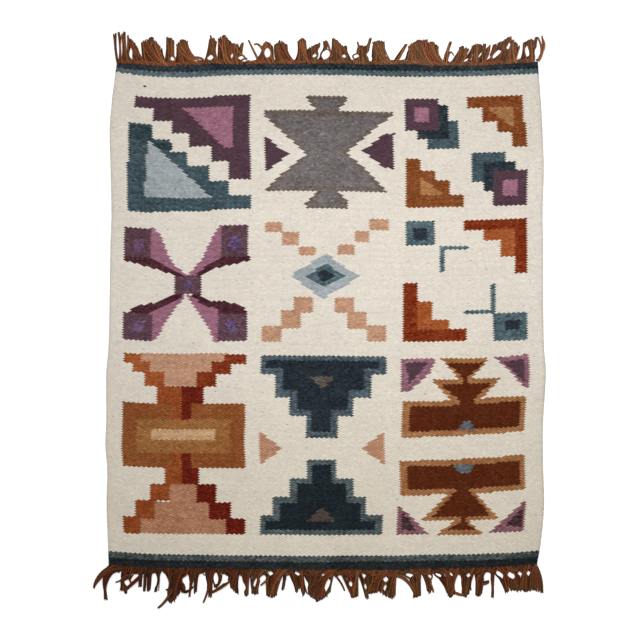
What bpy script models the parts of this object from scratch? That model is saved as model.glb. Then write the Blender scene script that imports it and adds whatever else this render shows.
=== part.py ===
"""A small hand-woven wool floor rug, lying flat: a weft-faced cloth with its warp ends left as a
fringe at both ends. X runs across the rug, Y along it, and Z up from the floor at zero."""

import math

import bmesh
import bpy

# Weaver's sizes, in metres.
CLOTH_THICKNESS = 0.0045
RIM_ROUNDING = 0.0013
RIM_SEGMENTS = 2
SEATING_GAP = 0.0003

# The strip where the warp ends leave the cloth, and the strands that grow from it.
STRIP_DEPTH = 0.0035
STRIP_HEIGHT = 0.0036
ROOT_WIDTH = 0.0036
TIP_WIDTH = 0.0023
STRAND_HEIGHT = 0.0034
TIP_HEIGHT = 0.0026
CROWN_SHARE = 0.62
STRAND_STEPS = 3
FULL_LEAN_REACH = 0.045
LEAN_BOW = 0.3

MILLIMETRE = 0.001
SIDE_STATIONS = 40
END_STATIONS = 28

# The selvedges, in millimetres: the height of the row, the left edge and the right edge there.
SELVEDGES = (
    (417.0, -330.5, 356.0),
    (385.0, -335.0, 358.5),
    (346.0, -339.5, 361.5),
    (307.0, -342.0, 363.5),
    (248.0, -340.5, 365.5),
    (170.0, -339.0, 363.5),
    (128.0, -340.5, 364.5),
    (33.0, -342.0, 364.5),
    (-46.0, -344.0, 366.0),
    (-85.0, -347.5, 369.0),
    (-163.0, -347.5, 364.5),
    (-203.0, -349.0, 364.0),
    (-242.0, -346.0, 364.5),
    (-301.0, -347.0, 366.0),
    (-360.0, -345.0, 361.0),
    (-398.0, -343.5, 354.5),
)

# The two woven ends, in millimetres: how far along the width in shares, and the height there.
FAR_END = (
    (0.0, 418.0),
    (0.04, 417.0),
    (0.10, 413.5),
    (0.18, 413.0),
    (0.28, 416.0),
    (0.42, 417.5),
    (0.56, 416.0),
    (0.68, 414.0),
    (0.80, 414.0),
    (0.90, 416.5),
    (1.0, 419.0),
)
NEAR_END = (
    (0.0, -400.0),
    (0.06, -403.5),
    (0.20, -406.0),
    (0.40, -407.5),
    (0.60, -407.5),
    (0.78, -406.0),
    (0.92, -403.0),
    (1.0, -399.0),
)

# The fringe's bunches, left to right: how many strands are in it, where its first and last tips
# lie across the rug, and how far the first, middle and last tips reach beyond the cloth, in
# millimetres.
FAR_BUNCHES = (
    (1, -333.5, -333.5, 49, 49, 49),
    (2, -326.5, -318.0, 52, 52, 52),
    (1, -312.5, -312.5, 47, 47, 47),
    (3, -306.5, -297.5, 38, 36, 33),
    (6, -288.0, -263.0, 39, 47, 31),
    (3, -249.0, -238.5, 47, 45, 42),
    (6, -231.0, -212.0, 34, 42, 36),
    (3, -184.0, -175.0, 36, 39, 37),
    (7, -168.5, -137.0, 32, 47, 34),
    (1, -123.0, -123.0, 36, 36, 36),
    (1, -114.5, -114.5, 40, 40, 40),
    (5, -101.0, -81.0, 33, 35, 34),
    (8, -76.5, -50.5, 34, 40, 31),
    (4, -37.0, -23.0, 40, 43, 36),
    (3, -11.0, 0.5, 28, 33, 35),
    (5, 4.5, 19.5, 29, 38, 26),
    (5, 23.5, 43.0, 41, 38, 29),
    (4, 61.0, 74.5, 30, 32, 31),
    (1, 82.0, 82.0, 44, 44, 44),
    (5, 89.0, 107.5, 37, 39, 38),
    (10, 130.0, 171.5, 26, 39, 39),
    (4, 178.5, 192.5, 38, 37, 31),
    (2, 206.0, 213.0, 33, 36, 39),
    (2, 226.0, 233.0, 30, 32, 33),
    (4, 240.5, 261.0, 29, 35, 37),
    (3, 268.5, 280.0, 36, 36, 34),
    (5, 285.5, 304.0, 35, 39, 42),
    (4, 309.5, 325.5, 45, 42, 30),
    (4, 332.5, 347.0, 35, 39, 40),
    (2, 354.0, 362.5, 42, 43, 44),
)
NEAR_BUNCHES = (
    (2, -367.8, -361.0, 34, 34, 34),
    (2, -353.0, -347.0, 53, 53, 53),
    (2, -333.5, -328.0, 25, 27, 29),
    (3, -323.0, -314.0, 40, 42, 42),
    (4, -296.0, -279.0, 30, 37, 38),
    (2, -270.0, -264.5, 36, 36, 36),
    (5, -260.0, -237.0, 64.7, 58, 49),
    (6, -228.0, -202.0, 36, 41, 41),
    (4, -191.0, -175.0, 54, 48, 44),
    (3, -161.0, -149.0, 24, 21, 19),
    (5, -141.0, -119.0, 32, 41, 44),
    (5, -114.0, -96.5, 39, 41, 36),
    (5, -87.0, -69.5, 37, 43, 43),
    (1, -58.0, -58.0, 33, 33, 33),
    (4, -40.0, -26.0, 36, 38, 43),
    (8, -20.0, 10.5, 42, 53, 42),
    (1, 17.5, 17.5, 35, 35, 35),
    (1, 36.0, 36.0, 33, 33, 33),
    (6, 43.5, 64.0, 40, 46, 41),
    (1, 73.0, 73.0, 45, 45, 45),
    (6, 79.0, 100.0, 36, 36, 36),
    (4, 107.0, 122.5, 40, 45, 39),
    (6, 144.0, 166.0, 34, 44, 43),
    (3, 175.5, 186.0, 34, 40, 35),
    (6, 200.0, 222.0, 34, 43, 38),
    (6, 229.0, 249.5, 34, 45, 33),
    (3, 257.0, 267.0, 44, 44, 40),
    (2, 279.0, 284.5, 42, 44, 46),
    (3, 292.0, 304.5, 35, 38, 41),
    (3, 312.5, 324.5, 37, 38, 40),
    (6, 332.5, 363.5, 40, 42, 44),
)

# What the materials look like: colour and roughness.
WOOL_CREAM = (0.72, 0.66, 0.57, 1.0)
WARP_RUST = (0.22, 0.075, 0.025, 1.0)
WOOL_ROUGHNESS = 0.9


def clear_scene():
    for thing in list(bpy.data.objects):
        bpy.data.objects.remove(thing, do_unlink=True)


def smooth_between(rows, at, column):
    """The value of a column at a place between rows, on a smooth curve through the rows."""
    rising = rows if rows[0][0] < rows[-1][0] else rows[::-1]
    last = len(rising) - 1
    at = min(max(at, rising[0][0]), rising[last][0])
    low = 0
    while low < last - 1 and rising[low + 1][0] < at:
        low += 1
    before = rising[max(low - 1, 0)]
    start = rising[low]
    end = rising[low + 1]
    after = rising[min(low + 2, last)]
    span = end[0] - start[0]
    share = (at - start[0]) / span
    slope_in = (end[column] - before[column]) / (end[0] - before[0]) * span
    slope_out = (after[column] - start[column]) / (after[0] - start[0]) * span
    square = share * share
    cube = square * share
    return (
        (2.0 * cube - 3.0 * square + 1.0) * start[column]
        + (cube - 2.0 * square + share) * slope_in
        + (3.0 * square - 2.0 * cube) * end[column]
        + (cube - square) * slope_out
    )


def selvedge_at(height, column):
    return smooth_between(SELVEDGES, height / MILLIMETRE, column) * MILLIMETRE


def end_stations(end_rows):
    """The points of a woven end, left to right, between the two selvedges."""
    points = []
    for step in range(END_STATIONS + 1):
        share = step / END_STATIONS
        height = smooth_between(end_rows, share, 1) * MILLIMETRE
        left = selvedge_at(height, 1)
        right = selvedge_at(height, 2)
        points.append((left + (right - left) * share, height))
    return points


def height_on(points, across):
    """The height of a woven end at a place across the rug, on the straight runs between stations."""
    for (x_a, y_a), (x_b, y_b) in zip(points, points[1:]):
        if across <= x_b:
            return y_a + (y_b - y_a) * (across - x_a) / (x_b - x_a)
    return points[-1][1]


def selvedge_points(column, start_height, end_height):
    """The points along one selvedge, between the corners and without them."""
    points = []
    for step in range(1, SIDE_STATIONS):
        height = start_height + (end_height - start_height) * step / SIDE_STATIONS
        points.append((selvedge_at(height, column), height))
    return points


def material(name, colour):
    finish = bpy.data.materials.new(name)
    finish.use_nodes = True
    shader = finish.node_tree.nodes["Principled BSDF"]
    shader.inputs["Base Color"].default_value = colour
    shader.inputs["Roughness"].default_value = WOOL_ROUGHNESS
    shader.inputs["Metallic"].default_value = 0.0
    return finish


def object_from(name, bm, finish):
    bmesh.ops.recalc_face_normals(bm, faces=bm.faces)
    mesh = bpy.data.meshes.new(name)
    bm.to_mesh(mesh)
    bm.free()
    thing = bpy.data.objects.new(name, mesh)
    thing.data.materials.append(finish)
    bpy.context.collection.objects.link(thing)
    return thing


def build_cloth(far_points, near_points, finish):
    """The woven cloth: one flat slab with the uneven outline and a rounded rim."""
    right = selvedge_points(2, near_points[-1][1], far_points[-1][1])
    left = selvedge_points(1, far_points[0][1], near_points[0][1])
    outline = near_points + right + far_points[::-1] + left
    bm = bmesh.new()
    corners = [bm.verts.new((x, y, 0.0)) for x, y in outline]
    underside = bm.faces.new(corners)
    bmesh.ops.recalc_face_normals(bm, faces=[underside])
    raised = bmesh.ops.extrude_face_region(bm, geom=[underside], use_keep_orig=True)
    lifted = [item for item in raised["geom"] if isinstance(item, bmesh.types.BMVert)]
    bmesh.ops.translate(bm, verts=lifted, vec=(0.0, 0.0, CLOTH_THICKNESS))
    bmesh.ops.recalc_face_normals(bm, faces=bm.faces)
    rims = []
    for edge in bm.edges:
        if edge.verts[0].co.z == edge.verts[1].co.z:
            rims.append(edge)
    bmesh.ops.bevel(
        bm,
        geom=rims,
        offset=RIM_ROUNDING,
        offset_type="OFFSET",
        segments=RIM_SEGMENTS,
        profile=0.5,
        affect="EDGES",
        material=-1,
    )
    return object_from("cloth", bm, finish)


def strand_ends(bunches, first_root, last_root):
    """Each strand's root place across the rug, its tip's place and its reach, left to right."""
    total = sum(row[0] for row in bunches)
    step = (last_root - first_root) / (total - 1)
    ends = []
    for count, tip_from, tip_to, reach_from, reach_mid, reach_to in bunches:
        for place in range(count):
            share = place / (count - 1) if count > 1 else 0.5
            arch = 1.0 - abs(2.0 * share - 1.0)
            straight = reach_from + (reach_to - reach_from) * share
            crest = reach_mid - (reach_from + reach_to) / 2.0
            ends.append(
                (
                    first_root + step * len(ends),
                    (tip_from + (tip_to - tip_from) * share) * MILLIMETRE,
                    (straight + crest * arch) * MILLIMETRE,
                )
            )
    return ends


def strand_section(centre, heading, width, height):
    """The corners of a strand's section, flat side on the floor: the low pair, then the high."""
    x, y = centre
    corners = []
    for half, level in ((width / 2.0, 0.0), (width / 2.0 * CROWN_SHARE, height)):
        for side in (-half, half):
            corners.append((x + heading[1] * side, y - heading[0] * side, level))
    return corners


def wall_faces(bm, low, high):
    """One upright face between each two neighbours of a low row of corners and a high one."""
    faces = []
    for place in range(len(low) - 1):
        faces.append(bm.faces.new((low[place], low[place + 1], high[place + 1], high[place])))
    return faces


def build_fringe(name, end_points, outward, bunches, finish):
    """One end's fringe: a narrow strip along the woven edge, with its strands lying on the floor."""
    left = end_points[0][0]
    right = end_points[-1][0]
    margin = ROOT_WIDTH / 2.0 + SEATING_GAP
    ends = strand_ends(bunches, left + margin, right - margin)
    near_wall = [(x, y + outward * SEATING_GAP) for x, y in end_points]
    reach_out = outward * (SEATING_GAP + STRIP_DEPTH)
    roots = []
    for root_x, _, _ in ends:
        roots.append(root_x - ROOT_WIDTH / 2.0)
        roots.append(root_x + ROOT_WIDTH / 2.0)
    stops = [left] + roots + [right]
    far_wall = [(x, height_on(end_points, x) + reach_out) for x in stops]

    bm = bmesh.new()
    low_near = [bm.verts.new((x, y, 0.0)) for x, y in near_wall]
    high_near = [bm.verts.new((x, y, STRIP_HEIGHT)) for x, y in near_wall]
    low_far = [bm.verts.new((x, y, 0.0)) for x, y in far_wall]
    high_far = [bm.verts.new((x, y, STRIP_HEIGHT)) for x, y in far_wall]
    bm.faces.new(low_near + low_far[::-1])
    bm.faces.new(high_near[::-1] + high_far)
    bm.faces.new((low_near[0], low_far[0], high_far[0], high_near[0]))
    bm.faces.new((low_near[-1], high_near[-1], high_far[-1], low_far[-1]))
    wall_faces(bm, low_near, high_near)
    root_faces = wall_faces(bm, low_far, high_far)[1::2]
    for face, (root_x, tip_x, reach) in zip(root_faces, ends):
        root_y = height_on(end_points, root_x) + outward * SEATING_GAP
        grow_strand(bm, face, (root_x, root_y), tip_x, reach, outward)
    return object_from(name, bm, finish)


def lean_share(out):
    """How much of its lean a strand has taken at a distance out from the cloth, easing off."""
    along = min(out / FULL_LEAN_REACH, 1.0)
    return along * (1.0 + LEAN_BOW - LEAN_BOW * along)


def lean_slope(out):
    along = out / FULL_LEAN_REACH
    if along >= 1.0:
        return 0.0
    return (1.0 + LEAN_BOW - 2.0 * LEAN_BOW * along) / FULL_LEAN_REACH


def grow_strand(bm, root_face, root, tip_x, reach, outward):
    """Draws one strand out of its root face, from the strip to the tip in a soft lean."""
    lean = (tip_x - root[0]) / lean_share(reach)
    face = root_face
    for step in range(1, STRAND_STEPS + 1):
        along = step / STRAND_STEPS
        out = STRIP_DEPTH + (reach - STRIP_DEPTH) * along
        centre = (root[0] + lean * lean_share(out), root[1] + outward * out)
        slope = lean * lean_slope(out) * outward
        length = math.hypot(slope, 1.0)
        heading = (slope / length, 1.0 / length)
        width = ROOT_WIDTH + (TIP_WIDTH - ROOT_WIDTH) * along
        height = STRAND_HEIGHT + (TIP_HEIGHT - STRAND_HEIGHT) * along
        face = bmesh.ops.extrude_discrete_faces(bm, faces=[face])["faces"][0]
        corners = sorted(face.verts, key=lambda vert: (vert.co.z > height / 2.0, vert.co.x))
        for vert, place in zip(corners, strand_section(centre, heading, width, height)):
            vert.co = place


def main():
    clear_scene()
    wool = material("wool_weft", WOOL_CREAM)
    warp = material("wool_warp_ends", WARP_RUST)
    far_points = end_stations(FAR_END)
    near_points = end_stations(NEAR_END)
    build_cloth(far_points, near_points, wool)
    build_fringe("fringe_far", far_points, 1.0, FAR_BUNCHES, warp)
    build_fringe("fringe_near", near_points, -1.0, NEAR_BUNCHES, warp)


main()
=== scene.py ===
"""Looks of a small hand-woven wool floor rug: a weft-faced cloth with geometric motifs on a cream
ground, and its warp ends left as a fringe at both ends. Everything is in metres."""

import math
import random
from types import SimpleNamespace

import bmesh
import bpy
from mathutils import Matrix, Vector


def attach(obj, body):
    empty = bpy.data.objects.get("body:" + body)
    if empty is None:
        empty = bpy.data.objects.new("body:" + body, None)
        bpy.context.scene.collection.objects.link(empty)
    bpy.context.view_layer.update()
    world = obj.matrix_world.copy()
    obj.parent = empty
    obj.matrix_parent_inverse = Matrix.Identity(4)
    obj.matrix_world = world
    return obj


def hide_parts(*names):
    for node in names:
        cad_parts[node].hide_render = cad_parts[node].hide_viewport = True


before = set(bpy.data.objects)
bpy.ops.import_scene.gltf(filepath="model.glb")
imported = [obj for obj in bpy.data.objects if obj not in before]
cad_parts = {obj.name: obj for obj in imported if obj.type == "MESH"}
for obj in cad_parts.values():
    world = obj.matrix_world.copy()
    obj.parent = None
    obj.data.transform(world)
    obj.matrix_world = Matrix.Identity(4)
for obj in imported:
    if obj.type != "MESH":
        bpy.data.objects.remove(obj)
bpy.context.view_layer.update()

MILLIMETRE = 0.001

# The loom: warp ends across the rug and picks along it. A stitch is one weft float over one
# warp end: a diamond two warps wide and two picks high, on every second crossing of the grid.
WARPS = 178
PICKS = 412
UNDERSIDE_WARPS = 89
UNDERSIDE_PICKS = 206

# The cloth's section.
CLOTH_THICKNESS = 4.5 * MILLIMETRE
STITCH_CROWN = 0.25 * MILLIMETRE
STITCH_VALLEY = 0.3 * MILLIMETRE
RIM_DROP = 1.0 * MILLIMETRE
RIM_FOOT = 0.6 * MILLIMETRE
RIM_BULGE = 0.6 * MILLIMETRE
SELVEDGE_TURN = 0.5 * MILLIMETRE
CLOTH_WAVE = 0.35 * MILLIMETRE

# How unevenly the picks are beaten: slow drifts of the rows and columns, and a stitch's own stray.
ROW_DRIFT = 0.7 * MILLIMETRE
COLUMN_DRIFT = 0.5 * MILLIMETRE
STITCH_STRAY = 0.16 * MILLIMETRE

# The last picks at each woven end, which lie looser: how many, and how many millimetres they push
# the end out at a share of the width.
LOOSE_PICKS = 6.0
FAR_LOOSENESS = (
    (0.0, 2.3),
    (0.10, 2.3),
    (0.152, 3.6),
    (0.195, 4.9),
    (0.238, 4.8),
    (0.28, 2.2),
    (0.37, 1.6),
    (0.5, 2.3),
    (0.538, 3.4),
    (0.58, 2.5),
    (0.62, 2.4),
    (0.667, 4.6),
    (0.71, 4.3),
    (0.75, 2.8),
    (0.795, 2.7),
    (0.838, 1.3),
    (0.88, 0.8),
    (0.92, 2.0),
    (1.0, 2.2),
)
NEAR_LOOSENESS = ((0.0, 0.8), (0.5, 0.6), (0.69, 2.2), (0.72, 0.8), (1.0, 0.8))

# The selvedges, in millimetres: the height of the row, the left edge and the right edge there.
SELVEDGES = (
    (417.0, -330.5, 356.0),
    (385.0, -335.0, 358.5),
    (346.0, -339.5, 361.5),
    (307.0, -342.0, 363.5),
    (248.0, -340.5, 365.5),
    (170.0, -339.0, 363.5),
    (128.0, -340.5, 364.5),
    (33.0, -342.0, 364.5),
    (-46.0, -344.0, 366.0),
    (-85.0, -347.5, 369.0),
    (-163.0, -347.5, 364.5),
    (-203.0, -349.0, 364.0),
    (-242.0, -346.0, 364.5),
    (-301.0, -347.0, 366.0),
    (-360.0, -345.0, 361.0),
    (-398.0, -343.5, 354.5),
)

# The two woven ends, in millimetres: how far along the width in shares, and the height there. One
# row's height does for the whole end where only its selvedges are looked up.
FAR_END = (
    (0.0, 418.0),
    (0.04, 417.0),
    (0.10, 413.5),
    (0.18, 413.0),
    (0.28, 416.0),
    (0.42, 417.5),
    (0.56, 416.0),
    (0.68, 414.0),
    (0.80, 414.0),
    (0.90, 416.5),
    (1.0, 419.0),
)
NEAR_END = (
    (0.0, -400.0),
    (0.06, -403.5),
    (0.20, -406.0),
    (0.40, -407.5),
    (0.60, -407.5),
    (0.78, -406.0),
    (0.92, -403.0),
    (1.0, -399.0),
)
TYPICAL_END_ROW = 5

# The fringe's bunches, left to right, in millimetres: where the roots of the first and last strand
# stand along the cloth, where their tips lie across the rug, how far the first, middle and last
# tips reach beyond the cloth, how soon a strand gathers into its bunch, and how far it bows.
FAR_BUNCHES = (
    (-331, -327, -334, -332, 49, 49, 49, 1.0, -2),
    (-327, -323, -327, -325, 52, 51, 46, 1.0, 0),
    (-323, -313, -321, -317, 46, 50, 53, 2.5, 0),
    (-313, -309, -313, -312, 47, 46, 45, 1.0, 0),
    (-309, -288, -312, -296, 43, 36, 25, 0.9, 2),
    (-288, -255, -291, -256, 36, 48, 27, 1.0, 0),
    (-255, -239, -249, -238, 47, 46, 41, 1.5, 0),
    (-239, -198, -233, -216, 34, 43, 39, 1.0, 0),
    (-194, -185, -180, -176, 40, 41, 41, 1.3, 2),
    (-185, -166, -176, -169, 42, 42, 33, 1.3, -2),
    (-166, -145, -166, -145, 41, 48, 37, 1.1, 0),
    (-145, -136, -143, -133, 36, 34, 33, 1.0, 0),
    (-136, -128, -130, -123, 31, 35, 35, 0.8, -2),
    (-128, -89, -93, -85, 29, 36, 36, 1.5, 0),
    (-82, -73, -85, -77, 36, 34, 29, 1.0, 0),
    (-73, -45, -73, -53, 32, 39, 31, 1.9, 0),
    (-45, -22, -34, -22, 38, 43, 37, 2.2, 0),
    (-32, -12, -18, 0, 25, 30, 35, 1.0, 0),
    (-12, -1, 7, 11, 36, 38, 37, 1.5, 2),
    (-1, 35, 22, 37, 42, 37, 28, 2.0, 0),
    (35, 53, 38, 44, 26, 28, 30, 0.9, 0),
    (50, 63, 62, 66, 25, 29, 31, 1.2, 0),
    (63, 76, 66, 76, 31, 31, 30, 1.0, 0),
    (74, 80, 80, 84, 39, 43, 45, 0.8, -3),
    (80, 112, 87, 106, 37, 40, 38, 1.8, 0),
    (117, 122, 139, 143, 32, 33, 33, 1.1, -2),
    (122, 173, 146, 175, 30, 40, 42, 1.1, 0),
    (173, 202, 178, 194, 38, 39, 31, 2.2, -2),
    (202, 207, 212, 215, 37, 39, 40, 0.9, -3),
    (207, 218, 229, 234, 30, 31, 33, 1.0, 0),
    (218, 229, 235, 243, 26, 29, 29, 1.0, 0),
    (223, 249, 249, 265, 32, 36, 34, 1.1, 0),
    (249, 260, 274, 279, 28, 31, 33, 0.9, 0),
    (260, 272, 267, 271, 35, 36, 35, 1.0, 0),
    (265, 283, 284, 303, 33, 36, 39, 1.0, 0),
    (283, 306, 301, 313, 38, 43, 44, 2.0, 0),
    (306, 318, 314, 327, 41, 35, 27, 0.8, -2),
    (318, 336, 333, 344, 33, 36, 39, 2.2, 0),
    (336, 347, 344, 348, 39, 39, 37, 1.5, 0),
    (347, 352, 352, 355, 41, 42, 41, 1.0, 0),
)
NEAR_BUNCHES = (
    (-342, -334, -369, -366, 38, 38, 34, 1.0, 0),
    (-334, -322, -349, -347, 56, 57, 57, 2.2, -6),
    (-322, -314, -324, -321, 41, 41, 39, 1.4, 0),
    (-314, -296, -318, -315, 44, 44, 43, 0.7, 0),
    (-296, -287, -295, -291, 31, 33, 31, 1.0, 0),
    (-287, -282, -287, -284, 40, 40, 39, 1.0, 0),
    (-282, -272, -281, -277, 39, 39, 38, 1.3, 0),
    (-272, -260, -269, -265, 39, 40, 38, 2.6, 2),
    (-260, -244, -247, -243, 52, 56, 58, 2.5, 0),
    (-244, -226, -243, -228, 58, 52, 41, 1.2, 0),
    (-226, -216, -225, -220, 39, 40, 39, 1.0, 0),
    (-216, -205, -214, -211, 46, 47, 43, 1.2, 2),
    (-205, -195, -205, -201, 41, 40, 38, 1.3, 0),
    (-195, -180, -183, -180, 36, 38, 38, 2.5, 0),
    (-180, -173, -180, -176, 47, 48, 44, 1.3, 0),
    (-173, -159, -172, -167, 31, 30, 28, 0.8, 0),
    (-159, -136, -145, -133, 31, 36, 42, 1.3, 0),
    (-136, -115, -122, -117, 37, 45, 42, 1.0, 0),
    (-115, -94, -111, -100, 39, 42, 40, 1.3, 0),
    (-94, -61, -87, -69, 43, 47, 42, 1.8, 0),
    (-61, -56, -62, -60, 34, 34, 33, 1.0, 3),
    (-56, -47, -38, -35, 37, 38, 33, 0.9, 0),
    (-47, -33, -29, -24, 37, 44, 37, 1.0, 0),
    (-37, 14, -19, 11, 40, 53, 45, 1.1, 0),
    (14, 24, 11, 16, 42, 41, 37, 0.7, 2),
    (24, 42, 51, 55, 43, 46, 46, 0.9, 0),
    (42, 60, 55, 62, 46, 45, 42, 1.0, 0),
    (60, 65, 76, 79, 45, 49, 47, 1.0, 0),
    (65, 100, 77, 99, 40, 38, 35, 1.2, 0),
    (100, 112, 99, 110, 37, 40, 44, 1.0, 0),
    (112, 125, 112, 124, 45, 48, 41, 1.3, 0),
    (125, 156, 155, 165, 47, 45, 43, 1.6, 0),
    (156, 176, 176, 182, 35, 41, 35, 1.4, 0),
    (172, 197, 208, 216, 38, 47, 47, 1.2, 0),
    (197, 221, 214, 223, 47, 44, 40, 1.3, 0),
    (221, 249, 233, 247, 45, 48, 33, 1.6, 0),
    (249, 269, 256, 265, 46, 47, 43, 2.2, 0),
    (274, 283, 282, 284, 49, 50, 47, 2.0, 0),
    (279, 288, 303, 309, 43, 43, 41, 1.0, 0),
    (288, 306, 306, 326, 40, 40, 43, 1.1, 0),
    (306, 331, 323, 337, 41, 40, 44, 1.1, 0),
    (331, 355, 336, 365, 44, 42, 48, 1.1, 0),
)

# Strands that stray over the rest, in millimetres: across and out at root, middle and tip, and how
# many lie together.
FAR_STRAYS = (
    (-189, 6, -197, 10, -205, 11, 2),
    (-171, 18, -175, 31, -178, 46, 2),
    (-118, 7, -130, 17, -140, 33, 2),
    (-101, 8, -109, 24, -116, 39, 2),
    (-94, 24, -100, 31, -107, 31, 2),
    (19, 8, 16, 24, 11, 37, 2),
    (66, 22, 64, 28, 62, 36, 2),
    (104, 8, 108, 10, 112, 11, 2),
    (208, 7, 213, 20, 219, 15, 2),
    (357, 1, 364, 19, 363, 43, 2),
    (356, 2, 362, 19, 356, 41, 2),
    (354, 2, 366, 22, 364, 38, 2),
)
NEAR_STRAYS = (
    (-338, 3, -354, 16, -367, 32, 4),
    (-325, 4, -342, 13, -350, 30, 5),
    (-313, 11, -324, 21, -334, 26, 3),
    (-290, 12, -304, 25, -318, 39, 4),
    (-239, 21, -246, 29, -251, 35, 3),
    (-239, 33, -251, 52, -264, 65, 3),
    (-227, 24, -220, 37, -206, 29, 4),
    (-180, 26, -185, 43, -190, 55, 2),
    (-146, 15, -158, 27, -178, 39, 4),
    (-161, 8, -163, 20, -170, 30, 3),
    (-84, 16, -91, 21, -96, 26, 2),
    (22, 5, 34, 19, 41, 34, 2),
    (109, 13, 107, 22, 102, 30, 2),
    (127, 8, 143, 17, 155, 38, 4),
    (180, 22, 184, 30, 186, 38, 2),
    (221, 38, 229, 42, 237, 43, 3),
    (265, 24, 271, 24, 277, 22, 5),
    (269, 8, 259, 17, 260, 37, 2),
)

# Openings that the strands leave near the cloth, in millimetres: across, out, half width and
# half height.
FAR_OPENINGS = (
    (-308, 16, 2.8, 7.3),
    (-240, 10, 4.2, 2.3),
    (-201, 6, 2.4, 2.9),
    (-178, 9, 5.6, 3.1),
    (-143, 13, 2.1, 2.8),
    (-128, 10, 5.2, 2.6),
    (-85, 17, 5.2, 7.8),
    (-8, 12, 3.9, 2.3),
    (0, 22, 2.6, 2.6),
    (10, 14, 6.9, 6.9),
    (40, 11, 3.8, 2.4),
    (60, 12, 4.7, 2.8),
    (80, 15, 3.3, 3.3),
    (85, 8, 1.3, 1.3),
    (239, 8, 3.3, 2.9),
    (262, 16, 2.1, 3.3),
    (276, 10, 2.1, 2.1),
    (290, 17, 5.2, 7.5),
    (308, 27, 2.8, 5.2),
    (339, 17, 3.3, 9.0),
    (354, 13, 2.9, 8.2),
)
NEAR_OPENINGS = (
    (-332, 19, 8.2, 5.2),
    (-314, 25, 4.9, 4.9),
    (-269, 20, 4.2, 11.4),
    (-253, 20, 6.5, 12.2),
    (-218, 20, 5.9, 6.5),
    (-191, 22, 7.2, 13.1),
    (-169, 15, 3.9, 9.8),
    (-154, 15, 3.9, 6.5),
    (-125, 26, 3.9, 6.5),
    (-105, 21, 2.1, 8.2),
    (-92, 14, 5.0, 4.6),
    (-80, 5, 4.6, 2.8),
    (-36, 6, 4.6, 2.3),
    (-21, 22, 2.6, 4.9),
    (6, 8, 2.6, 2.4),
    (13, 24, 3.6, 10.6),
    (51, 22, 3.1, 4.1),
    (73, 8, 3.1, 2.4),
    (75, 26, 2.0, 4.1),
    (107, 27, 2.6, 4.1),
    (108, 14, 4.4, 3.8),
    (147, 8, 6.4, 2.9),
    (180, 11, 3.3, 2.4),
    (194, 9, 4.7, 3.3),
    (215, 9, 2.8, 2.3),
    (226, 24, 5.2, 13.1),
    (243, 11, 3.9, 2.6),
    (274, 13, 5.9, 4.6),
    (294, 11, 5.2, 4.9),
    (313, 14, 5.9, 4.9),
    (327, 12, 3.9, 2.4),
    (341, 12, 3.3, 3.1),
)

# Stretches of the cloth's ends, in millimetres, where no strand covers the edge.
FAR_BARE = ((105.0, 117.0),)
NEAR_BARE = ()

# A strand of the fringe: the sides and steps of its mesh, then half its width, half its thickness
# and how high the top ones lie, in millimetres, and how it slims towards its blunt tip.
STRAND_SIDES = 4
STRAND_STEPS = 12
STRAND_HALF = 1.15
STRAND_THICK = 1.0
STRAND_LIFT = 3.2
STRAND_SLIMMING = 0.12
BLUNT_TIP = 0.6

# The roots, in millimetres: where strands start from the cloth's edge and how much higher, how
# close the low strands along the edge stand, how far they run, and how far out they reach.
ROOT_INSET = -1.2
ROOT_RISE = 2.2
ROOT_PITCH = 1.0
ROOT_SWEEP = 20.0
FAR_ROOT_BAND = 5.5
NEAR_ROOT_BAND = 10.0

# How single strands stray, in millimetres: the curl and scatter of their tips, their sway, and how
# much shorter or longer than their bunch they are.
TIP_CURL = 1.2
TIP_SCATTER = 0.5
SWAY = 0.8
CUT_SHORT = 1.6
LEFT_LONG = 0.4

# How many strands hook over at the tip, and how much more these curl than the rest.
HOOK_SHARE = 0.16
HOOK_CURL = 2.6

# A lock of straying strands: how far apart they lie, in millimetres, how much they draw together
# towards the tip, and their width beside a plain strand's.
LOCK_PITCH = 1.5
LOCK_TAPER = 0.45
LOCK_WIDTH = 1.1

# The yarn: how often its two plies turn, the grey of frayed tips and its share in their colour, and
# the redder wool that some roots keep.
PLY_TURN = 6.0 * MILLIMETRE
FRAYED_TIP = "#694e3a"
FRAYED_SHARE = 0.5
ROOT_RED = "#8a3a1e"
ROOT_BRIGHTNESS = 0.08

# How a bunch gathers. Its first strand leans a little to either side where the bunch stands
# straight over its roots, and all the others start well to the right of their tips. A strand may
# start a little outside its bunch, and one that starts far from its tip turns sooner.
BUNCH_LEAN = 0.35
FULL_LEAN = 1.0
LEAN_RUN = 1.25
STRAIGHT_DRIFT = 0.3
STRAIGHT_GATHER = 1.6
ROOT_SPILL = 0.35
TURN_RUN = 7.0
SHARPEST_TURN = 3.2
UPRIGHT_EASE = 1.7
LEANING_EASE = 2.1
LEFT_CORNER_ROOM = 1.5
RIGHT_CORNER_ROOM = 3.0

# How far an opening may slant, what of it is chance, and how its pointed outline closes.
STEEPEST_SLANT = 0.6
SLANT_CHANCE = 0.3
OPENING_STRETCH = 1.15
OPENING_POINT = 0.75

# Painted shade of the pile of strands: how dark the lowest strands lie, and how much brighter
# the top ones are.
DEEP_STRAND_SHADE = 0.40
TOP_STRAND_LIGHT = 0.84

# How much floor the cloth's map spans, in metres, where the rug's centre lies in it, the map's own
# margin, and the scale of the rim's strips.
MAP_SPAN = 0.86
MAP_LEFT = 0.37
MAP_FOOT = 0.42
MAP_EDGE = 0.005
RIM_MAP_SCALE = 2.6

# How the fringe's map is parted: strands side by side in it, and the margin round each.
MAP_COLUMNS = 36
MAP_SIDE_MARGIN = 0.08
MAP_END_MARGIN = 0.06

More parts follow.
